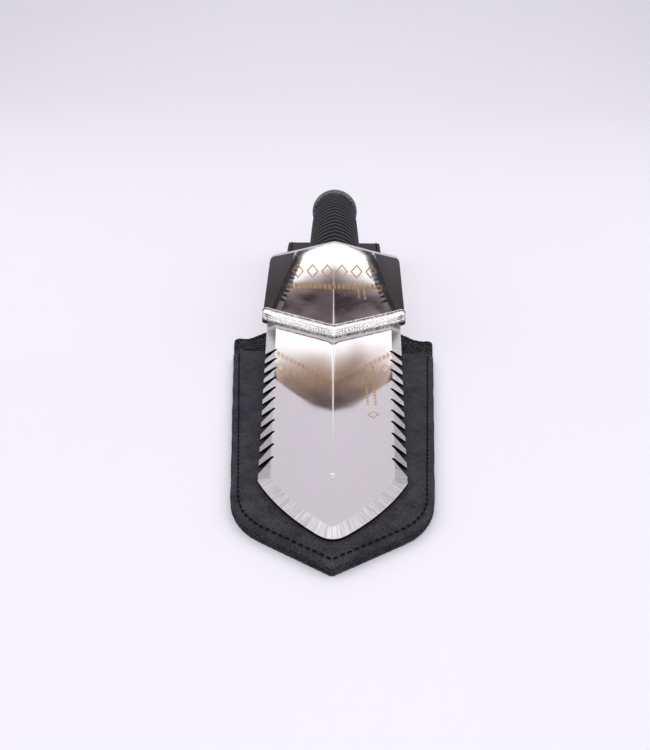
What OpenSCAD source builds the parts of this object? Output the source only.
// Hand digging shovel for metal detecting, lying on its leather belt sheath.
// Millimetres. X runs across the blade, Y from the digging tip towards the handle, Z up.
// The set stands on Z = 0 and is centred on X = 0 and Y = 0.

/* [Blade] */
// Length from the guard to the point where the tip's two curved edges would meet
blade_len = 177; // [160:1:190]
// Width where the blade meets the guard
blade_w_guard = 81; // [76:1:84]
// Width at the shoulders, where the tip starts
blade_w_shoulder = 65.4; // [60:0.2:70]
// Distance from the guard to the shoulders
shoulder_dist = 141; // [136:1:146]
// Radius of each curved tip edge
tip_edge_r = 105; // [90:1:140]
// Half width of the blunt end at the tip
blunt_x = 6; // [4:0.5:8]
// Sheet thickness
blade_t = 3; // [2.5:0.1:3.5]
// Slope of each half of the V fold at the guard, in degrees
fold_slope = 15; // [8:1:18]
// Distance from the guard at which the fold has faded out
fold_len = 150; // [145:1:155]
// Width of the ground edge strip
bevel_w = 5.5; // [4:0.1:7]
// Thickness left at the ground edge
edge_t = 1.2; // [0.8:0.1:1.6]

/* [Saw slots] */
// Slots down each side
slot_count = 11; // [6:1:12]
// Distance between slots
slot_pitch = 9.3; // [8.5:0.1:9.5]
// Distance from the guard to the inner end of the first slot
slot_start = 33.5; // [30:0.5:36]
// Width of one slot
slot_w = 2.2; // [1.6:0.1:2.6]
// Depth of a slot, measured across the blade
slot_depth = 6.2; // [5:0.1:7]
// Lean of a slot towards the tip, in degrees
slot_lean = 49; // [40:1:55]

/* [Guard plate] */
// Width at the bottom
guard_w_bottom = 88.6; // [84:0.2:92]
// Width at the top corners
guard_w_top = 75; // [70:1:80]
// Height of the peak above the fold line
guard_peak_h = 58.5; // [54:0.5:62]
// Height of the top corners above the fold line
guard_corner_h = 48.5; // [44:0.5:50]
// Plate thickness
guard_t = 3; // [2.5:0.1:3.5]
// Distance between the two bend lines at the fold line's height
bend_w_bottom = 85; // [80:1:88]
// Distance between the two bend lines at the top corners
bend_w_top = 56.6; // [50:0.2:64]
// Backward bend of each wing, in degrees
wing_bend = 14; // [8:1:20]
// How far the plate reaches below the fold line
guard_below = 5; // [4:0.1:6]

/* [Handle] */
// Outer diameter of the steel tube
tube_d = 25; // [22:0.1:26]
// Wall of the steel tube
tube_wall = 1.8; // [1.5:0.1:2.2]
// Height of the handle's axis above the fold line
axis_h = 34; // [30:0.5:38]
// Length of the rubber grip
grip_len = 131; // [120:1:136]
// Diameter over the ribs next to the guard
grip_near_d = 34.4; // [32:0.1:36]
// Diameter over the ribs next to the end cap
grip_d = 32.6; // [31:0.1:35]
// Depth of the grooves between the ribs
groove_depth = 1.8; // [1.2:0.1:2.2]
// Number of ribs
rib_count = 18; // [14:1:20]
// Diameter of the end cap's flange
cap_d = 34.2; // [34:0.1:37]
// Number of lobes round the end cap, in front of its flange
lobe_count = 26; // [18:1:30]

/* [Sheath] */
// Distance from the guard to the bottom point of the sheath
sheath_len = 188.4; // [186:0.2:196]
// Width of the sheath at its mouth
mouth_w = 119.6; // [114:0.2:122]
// Narrowing of each side for every millimetre down the sheath
side_taper = 0.12; // [0.08:0.01:0.16]
// Slope of the two bottom edges, in degrees
point_slope = 31; // [28:1:34]
// Distance from the guard to the mouth edge of the front panel
mouth_dist = 17; // [14:0.5:20]
// Thickness of the back panel
back_t = 1.4; // [1.2:0.1:2]
// Thickness of the lining
lining_t = 0.6; // [0.4:0.1:0.8]
// Thickness of one welt layer
welt_t = 1; // [0.8:0.1:1.6]
// Width of the welt round the pocket
welt_w = 9; // [8:0.5:10]
// Thickness of the front panel
front_t = 1.4; // [1.2:0.1:2]

/* [Belt loop] */
// Width of the strap
strap_w = 75; // [70:1:80]
// Thickness of the strap
strap_t = 1.8; // [1.6:0.1:2.2]
// Distance from the guard to the far end of the loop
loop_end = 168; // [160:1:172]
// Clear height inside the loop
loop_gap = 6.8; // [5:0.2:9]
// Radius of a rivet post
rivet_r = 2.5; // [2:0.1:3]
// Radius of a rivet cap
rivet_cap_r = 4.8; // [4:0.1:5.5]

/* [Stitching] */
// Distance of the seam from the leather edge
seam_inset = 3.5; // [3:0.5:5]
// Distance between stitches
stitch_pitch = 3.2; // [3:0.1:5]
// Length of one stitch
stitch_len = 2.3; // [2:0.1:3]
// Width of the thread
thread_w = 0.9; // [0.7:0.1:1.1]
// Height of a stitch above the leather
stitch_h = 0.4; // [0.3:0.1:0.5]

/* [Hidden] */

steel = "#C6C3C8";
bead = "#D8D6DA";
rubber = "#2A2A2E";
cap_plastic = "#4A4A50";
leather = "#3C3C40";
suede = "#1C1C1E";
thread = "#141416";
nickel = "#A8A8AC";

// Heights of the sheath's layers above the table
lining_z = back_t;
pocket_z = back_t + lining_t;
front_z = pocket_z + 2 * welt_t;
sheath_top = front_z + front_t;
rest_gap = 0.3;
// Height of the top of the fold line
fold_z = sheath_top + rest_gap + blade_t;
axis_z = fold_z + axis_h;
// The set is centred between the sheath's point and the end of the belt loop
centre_y = (loop_end - sheath_len) / 2;

taper = (blade_w_guard - blade_w_shoulder) / 2 / shoulder_dist;
side_steps = 24;
tip_steps = 20;
corner_steps = 8;

module place() {
    translate([0, -centre_y, 0]) children();
}

// ---------------------------------------------------------------- outlines

function unit(v) = v / norm(v);

// One corner of an outline, rounded with a true arc of radius r
function round_corner(before, at, after, r) =
    r == 0 ? [at] :
    let (
        a = unit(before - at),
        b = unit(after - at),
        half = acos(a * b) / 2,
        c = at + unit(a + b) * r / sin(half),
        s = at + a * r / tan(half) - c,
        e = at + b * r / tan(half) - c,
        a0 = atan2(s[1], s[0]),
        turn = (atan2(e[1], e[0]) - a0 + 540) % 360 - 180
    )
    [for (i = [0:corner_steps]) c + r * [cos(a0 + turn * i / corner_steps), sin(a0 + turn * i / corner_steps)]];

function flat_pt(v) = [v[0], v[1]];

// Closed outline from corners given as [x, y, radius]
function rounded(v) =
    let (n = len(v))
    [for (i = [0:n - 1])
        each round_corner(flat_pt(v[(i + n - 1) % n]), flat_pt(v[i]), flat_pt(v[(i + 1) % n]), v[i][2])];

// A right-hand half outline joined to its mirror image
function both_sides(h) = concat(h, [for (i = [len(h) - 1:-1:0]) if (h[i][0] > 0.01) [-h[i][0], h[i][1], h[i][2]]]);

// ---------------------------------------------------------------- blade

function blade_half(y) = blade_w_guard / 2 + y * taper;
function fold_tan(y) = tan(fold_slope * max(0, 1 + y / fold_len));
function surface_z(x, y) = x * fold_tan(min(0, y));

// Centre of the right-hand tip edge's arc, from its two ends
shoulder = [blade_w_shoulder / 2, -shoulder_dist];
tip = [0, -blade_len];
chord = shoulder - tip;
chord_in = [-chord[1], chord[0]] / norm(chord);
tip_centre = (shoulder + tip) / 2 + chord_in * sqrt(tip_edge_r * tip_edge_r - chord * chord / 4);
inner_r = tip_edge_r - bevel_w;
// The ground strip's inner line stops just short of the middle at the tip
inner_tip_x = 0.4;

function arc_angle(x, r) = -acos((x - tip_centre[0]) / r);
function arc_pt(a, r) = tip_centre + r * [cos(a), sin(a)];

// The two curved edges run into a blunt end that is tangent to both
blunt_dx = blunt_x - tip_centre[0];
blunt_dy = sqrt(tip_edge_r * tip_edge_r - blunt_dx * blunt_dx);
function blunt(p) = p[0] >= blunt_x ? p :
    [p[0], tip_centre[1] - blunt_dy - blunt_dx / blunt_dy * (blunt_x * blunt_x - p[0] * p[0]) / 2 / blunt_x];

outer_a0 = arc_angle(shoulder[0], tip_edge_r);
outer_a1 = arc_angle(0, tip_edge_r);
inner_a0 = arc_angle(shoulder[0] - bevel_w, inner_r);
inner_a1 = arc_angle(inner_tip_x, inner_r);
inner_corner_y = arc_pt(inner_a0, inner_r)[1];

outer_line = concat(
    [for (i = [0:side_steps]) let (y = -shoulder_dist * i / side_steps) [blade_half(y), y]],
    [for (i = [1:tip_steps]) blunt(arc_pt(outer_a0 + (outer_a1 - outer_a0) * i / tip_steps, tip_edge_r))]);
inner_line = concat(
    [for (i = [0:side_steps]) let (y = inner_corner_y * i / side_steps) [blade_half(y) - bevel_w, y]],
    [for (i = [1:tip_steps]) arc_pt(inner_a0 + (inner_a1 - inner_a0) * i / tip_steps, inner_r)]);

// Right-hand half of the blade as five rails: middle top, inner top, outer top, outer bottom, middle bottom
module half_blade() {
    last = side_steps + tip_steps;
    rails = [for (i = [0:last])
        let (
            o = outer_line[i],
            n = inner_line[i],
            zo = surface_z(o[0], o[1])
        )
        each [
            [0, n[1], 0],
            [n[0], n[1], surface_z(n[0], n[1])],
            [o[0], o[1], zo - blade_t + edge_t],
            [o[0], o[1], zo - blade_t],
            [0, n[1], -blade_t],
        ]];
    skin = [for (i = [0:last - 1], j = [0:4])
        let (
            a = 5 * i + j,
            b = 5 * i + (j + 1) % 5
        )
        each [[a, b, b + 5], [a, b + 5, a + 5]]];
    e = 5 * last;
    polyhedron(
        points = rails,
        faces = concat(skin, [[2, 1, 0], [3, 2, 0], [4, 3, 0], [e, e + 1, e + 2], [e, e + 2, e + 3], [e, e + 3, e + 4]]));
}

module saw_slot(i) {
    y = -slot_start - slot_pitch * i;
    reach = 2 * slot_depth / cos(slot_lean);
    translate([blade_half(y) - slot_depth, y, -blade_t - 1])
        rotate([0, 0, -slot_lean])
            translate([0, -slot_w / 2, 0])
                cube([reach, slot_w, blade_t + 14]);
}

module blade() {
    color(steel)
    place() translate([0, 0, fold_z])
    difference() {
        union() {
            half_blade();
            mirror([1, 0, 0]) half_blade();
        }
        for (i = [0:slot_count - 1]) {
            saw_slot(i);
            mirror([1, 0, 0]) saw_slot(i);
        }
    }
}

// ---------------------------------------------------------------- guard and welds

guard_slope = tan(fold_slope);
bend_lean = atan((bend_w_bottom - bend_w_top) / 2 / guard_corner_h);
// Thickness of the block that the guard's outline is cut from
guard_depth = 12;

module guard_outline() {
    polygon(rounded(both_sides([
        [0, -guard_below, 0],
        [guard_w_bottom / 2, guard_w_bottom / 2 * guard_slope - guard_below, 1.5],
        [guard_w_top / 2, guard_corner_h, 4],
        [28, guard_corner_h + 2.7, 14],
        [0, guard_peak_h, 10],
    ])));
}

// Everything behind the plane of one wing, moved back by d
module behind_wing(d) {
    translate([bend_w_bottom / 2, 0, 0])
        rotate([0, -bend_lean, 0])
            rotate([0, 0, wing_bend])
                translate([-200, d, -100])
                    cube([300, 100, 200]);
}

// Everything behind the bent plate's front face, moved back by d
module behind_face(d) {
    intersection() {
        translate([-100, d, -100]) cube([200, 60, 200]);
        behind_wing(d);
        mirror([1, 0, 0]) behind_wing(d);
    }
}

module guard_plate() {
    color(steel)
    place() translate([0, 0, fold_z])
    intersection() {
        difference() {
            behind_face(0);
            behind_face(guard_t);
        }
        translate([0, guard_depth, 0])
            rotate([90, 0, 0])
                linear_extrude(guard_depth + 1) guard_outline();
    }
}

// Weld bead laid along the V, in straight runs between round blobs
module bead_run(points, r) {
    for (i = [0:len(points) - 2])
        hull() {
            translate(points[i]) sphere(r, $fn = 16);
            translate(points[i + 1]) sphere(r, $fn = 16);
        }
}

bead_r = 4.8;
bead_x = guard_w_bottom / 2 - bead_r - 0.2;

function bead_line(y, up) = [for (x = [-bead_x, 0, bead_x]) [x, y, abs(x) * guard_slope + up]];

module front_weld() {
    color(bead)
    place() translate([0, 0, fold_z])
    difference() {
        bead_run(bead_line(-0.6, 1.2), bead_r);
        behind_face(0);
        blade_seat_cut();
    }
}

// Space below the blade's top face beside the guard
module blade_seat_cut() {
    w = blade_w_guard / 2 + 6;
    translate([0, 1, 0])
        rotate([90, 0, 0])
            linear_extrude(30)
                polygon([[-w, w * guard_slope], [0, 0], [w, w * guard_slope], [w, -20], [-w, -20]]);
}

module under_weld() {
    w = blade_w_guard / 2 - 2;
    clearance = 0.25;
    r = guard_below - blade_t - clearance;
    color(bead)
    place() translate([0, 0, fold_z - blade_t - clearance])
    for (s = [-1, 1])
        intersection() {
            rotate([0, -s * fold_slope, 0])
                rotate([0, s * 90, 0])
                    cylinder(r = r, h = w, $fn = 32);
            translate([s > 0 ? 0 : -w, -r - 1, -r - 1])
                cube([w, r + 1, w]);
            rotate([90, 0, 0])
                linear_extrude(r + 1)
                    polygon([[0, 0], [s * w, w * guard_slope], [s * w, -w], [0, -w]]);
        }
}

// ---------------------------------------------------------------- handle

module along_handle(y) {
    place()
        translate([0, y, axis_z])
            rotate([-90, 0, 0]) children();
}

grip_start = guard_t + 3;
grip_end = grip_start + grip_len;
cap_len = 8;
cap_lip = 3;
spigot_len = 18;
tube_r = tube_d / 2;

module handle_tube() {
    color(steel)
    along_handle(guard_t)
        difference() {
            cylinder(r = tube_r, h = grip_end - guard_t, $fn = 64);
            translate([0, 0, -1])
                cylinder(r = tube_r - tube_wall, h = grip_end - guard_t + 2, $fn = 64);
        }
}

module tube_weld() {
    leg = 3;
    color(bead)
    along_handle(guard_t)
        rotate_extrude($fn = 64)
            polygon([[tube_r, 0], [tube_r + leg, 0], [tube_r + leg * 0.45, leg * 0.45], [tube_r, leg]]);
}

module grip_sleeve() {
    pitch = grip_len / rib_count;
    function crest(t) = (grip_near_d + (grip_d - grip_near_d) * t / rib_count) / 2;
    ribs = [for (i = [0:rib_count - 1]) each [
        [crest(i) - groove_depth, pitch * (i + 0.08)],
        [crest(i), pitch * (i + 0.34)],
        [crest(i), pitch * (i + 0.66)],
        [crest(i) - groove_depth, pitch * (i + 0.92)],
    ]];
    color(rubber)
    along_handle(grip_start)
        rotate_extrude($fn = 64)
            polygon(concat(
                [[tube_r, 0], [crest(0) - groove_depth, 0]],
                ribs,
                [[crest(rib_count) - groove_depth, grip_len], [tube_r, grip_len]]));
}

module end_cap() {
    lobe_r = 1.7;
    ring_r = cap_d / 2 - 0.6 - lobe_r;
    flange = cap_d / 2;
    color(cap_plastic)
    along_handle(grip_end)
        union() {
            rotate_extrude($fn = 96)
                polygon([
                    [0, 0], [ring_r, 0], [ring_r, cap_lip], [flange - 0.4, cap_lip], [flange, cap_lip + 0.4],
                    for (a = [0:15:75]) [flange - 3 + 3 * cos(a), cap_len - 3 + 3 * sin(a)],
                    [0, cap_len],
                ]);
            for (i = [0:lobe_count - 1])
                rotate([0, 0, 360 * i / lobe_count])
                    translate([ring_r, 0, 0])
                        cylinder(r = lobe_r, h = cap_lip + 1, $fn = 24);
            translate([0, 0, -spigot_len])
                cylinder(r = tube_r - tube_wall, h = spigot_len + 1, $fn = 64);
        }
}

// ---------------------------------------------------------------- sheath panels

point_tan = tan(point_slope);
side_cos = cos(atan(side_taper));
corner_r = 30;

// Half width of the sheath at y, moved in from the edge by d
function sheath_half(y, d) = mouth_w / 2 + (y + mouth_dist) * side_taper - d / side_cos;
function point_y(d) = -sheath_len + d / cos(point_slope);
// Corner between a side and a bottom edge
function low_corner_x(d) =
    (mouth_w / 2 + (point_y(d) + mouth_dist) * side_taper - d / side_cos) / (1 - point_tan * side_taper);
function low_corner(d) = [low_corner_x(d), point_y(d) + low_corner_x(d) * point_tan, corner_r - d];

function panel_half(d, top, r) = [
    [0, point_y(d), 3],
    low_corner(d),
    [sheath_half(top, d), top, r],
];

shoulder_y = 7;
neck_y = 30;
neck_end = 88;

function back_half(d) = [
    [0, point_y(d), 3],
    low_corner(d),
    [sheath_half(shoulder_y, d), shoulder_y - d, 3],
    [53.5 - d * 0.4, 5 - d, 8],
    [39 - d, 20 - d * 0.8, 10],
    [strap_w / 2 - d, neck_y, 0],
];

module pocket_panel(d, top, r) {
    polygon(rounded(both_sides(panel_half(d, top, r))));
}

module rivet_spots() {
    for (x = [-1, 1], y = [56, 74])
        translate([x * strap_w / 3.4, y, 0]) children();
}

module rivet_holes() {
    rivet_spots() translate([0, 0, -1]) cylinder(r = rivet_r, h = 20, $fn = 32);
}

// Side view of the neck: flat on the table, then one strap thickness up between the strap's two ends
module back_panel() {
    color(leather)
    place()
    difference() {
        union() {
            linear_extrude(back_t)
                polygon(rounded(both_sides(back_half(0))));
            translate([-strap_w / 2, 0, 0])
                rotate([90, 0, 90])
                    linear_extrude(strap_w)
                        polygon([
                            [22, 0], [neck_y, 0], [neck_y + 6, strap_t], [neck_end, strap_t],
                            [neck_end, strap_t + back_t], [neck_y + 5, strap_t + back_t],
                            [neck_y - 1, back_t], [22, back_t],
                        ]);
        }
        rivet_holes();
    }
}

module back_lining() {
    color(suede)
    place() translate([0, 0, lining_z])
    linear_extrude(lining_t)
        intersection() {
            polygon(rounded(both_sides(back_half(0.4))));
            translate([-mouth_w, -sheath_len - 5])
                square([2 * mouth_w, sheath_len + 5 + neck_y - 4]);
        }
}

module welt_ring() {
    linear_extrude(welt_t)
        difference() {
            pocket_panel(0.3, -mouth_dist, 3);
            pocket_panel(welt_w, 20, 0);
        }
}

module inner_welt() {
    color(leather)
    place() translate([0, 0, pocket_z]) welt_ring();
}

module outer_welt() {
    color(leather)
    place() translate([0, 0, pocket_z + welt_t]) welt_ring();
}

module front_panel() {
    color(leather)
    place() translate([0, 0, front_z])
    linear_extrude(front_t) pocket_panel(0, -mouth_dist, 5);
}

// ---------------------------------------------------------------- belt loop

loop_h = loop_gap + 2 * strap_t;
loop_r = loop_h / 2;
strap_start = neck_y + 8;
// Top of the three sewn layers
sewn_z = strap_t + back_t;

// Side view of the strap: lower run on the table, round fold, upper run, ramp, and sewn end
module strap_side() {
    fold_y = loop_end - loop_r;
    difference() {
        union() {
            polygon([
                [strap_start, 0], [fold_y, 0], [fold_y, loop_h], [neck_end + 16, loop_h],
                [neck_end + 3, sewn_z + strap_t], [strap_start, sewn_z + strap_t],
            ]);
            translate([fold_y, loop_r]) circle(loop_r, $fn = 64);
        }
        union() {
            polygon([
                [strap_start - 1, strap_t], [fold_y, strap_t], [fold_y, loop_h - strap_t],
                [neck_end + 17, loop_h - strap_t], [neck_end + 4, sewn_z], [strap_start - 1, sewn_z],
            ]);
            translate([fold_y, loop_r]) circle(loop_r - strap_t, $fn = 64);
        }
    }
}

module belt_loop() {
    color(leather)
    place()
    difference() {
        translate([-strap_w / 2, 0, 0])
            rotate([90, 0, 90])
                linear_extrude(strap_w) strap_side();
        rivet_holes();
    }
}

stack_z = sewn_z + strap_t;
cap_h = 1.2;

module rivet_posts() {
    color(nickel)
    place()
    rivet_spots() translate([0, 0, cap_h]) cylinder(r = rivet_r, h = stack_z - cap_h, $fn = 32);
}

module rivet_caps() {
    color(nickel)
    place()
    rivet_spots() translate([0, 0, stack_z])
        rotate_extrude($fn = 48)
            polygon([[0, 0], [rivet_cap_r, 0], [rivet_cap_r, 0.4], [rivet_cap_r * 0.7, 1], [0, cap_h]]);
}

module rivet_back_caps() {
    color(nickel)
    place()
    rivet_spots() cylinder(r = rivet_r, h = cap_h, $fn = 32);
}

// ---------------------------------------------------------------- stitching

function run_length(p) = [for (i = 0, s = 0; i < len(p); s = s + (i + 1 < len(p) ? norm(p[i + 1] - p[i]) : 0), i = i + 1) s];

// Position and direction every stitch_pitch along a line of points
function stitch_spots(p) =
    let (
        s = run_length(p),
        total = s[len(s) - 1],
        count = floor(total / stitch_pitch),
        slack = (total - count * stitch_pitch) / 2
    )
    [for (k = [0:count])
        let (
            at = min(total - 0.01, slack + k * stitch_pitch),
            i = [for (j = [0:len(p) - 2]) if (s[j] <= at && at < s[j + 1]) j][0],
            d = unit(p[i + 1] - p[i])
        )
        [p[i] + d * (at - s[i]), atan2(d[1], d[0])]];

module seam(p) {
    for (spot = stitch_spots(p))
        translate([spot[0][0], spot[0][1], 0])
            rotate([0, 0, spot[1]])
                translate([-stitch_len / 2, -thread_w / 2, 0])
                    cube([stitch_len, thread_w, stitch_h]);
}

module border_stitching() {
    edge = panel_half(seam_inset, -mouth_dist - seam_inset, 0);
    low = round_corner(flat_pt(edge[2]), flat_pt(edge[1]), flat_pt(edge[0]), edge[1][2]);
    right = concat([flat_pt(edge[2])], low, [flat_pt(edge[0])]);
    left = [for (i = [len(right) - 2:-1:0]) [-right[i][0], right[i][1]]];
    color(thread)
    place() translate([0, 0, sheath_top]) seam(concat(right, left));
}

module shoulder_stitching() {
    inset = 3;
    half = [for (v = rounded(back_half(inset))) if (v[0] > strap_w / 2 - inset && v[1] > -mouth_dist + 6) v];
    color(thread)
    place() translate([0, 0, pocket_z]) {
        seam(half);
        mirror([1, 0, 0]) seam(half);
    }
}

module loop_edge_stitching() {
    x = strap_w / 2 - 3;
    line = [[x, neck_end + 20], [x, loop_end - loop_r]];
    color(thread)
    place() translate([0, 0, loop_h]) {
        seam(line);
        mirror([1, 0, 0]) seam(line);
    }
}

module loop_seam_stitching() {
    x = strap_w / 2 - 5;
    color(thread)
    place() translate([0, 0, stack_z])
    for (y = [strap_start + 8, neck_end - 4]) seam([[-x, y], [x, y]]);
}

blade();
guard_plate();
front_weld();
under_weld();
handle_tube();
tube_weld();
grip_sleeve();
end_cap();
back_panel();
back_lining();
inner_welt();
outer_welt();
front_panel();
belt_loop();
rivet_posts();
rivet_caps();
rivet_back_caps();
border_stitching();
shoulder_stitching();
loop_edge_stitching();
loop_seam_stitching();
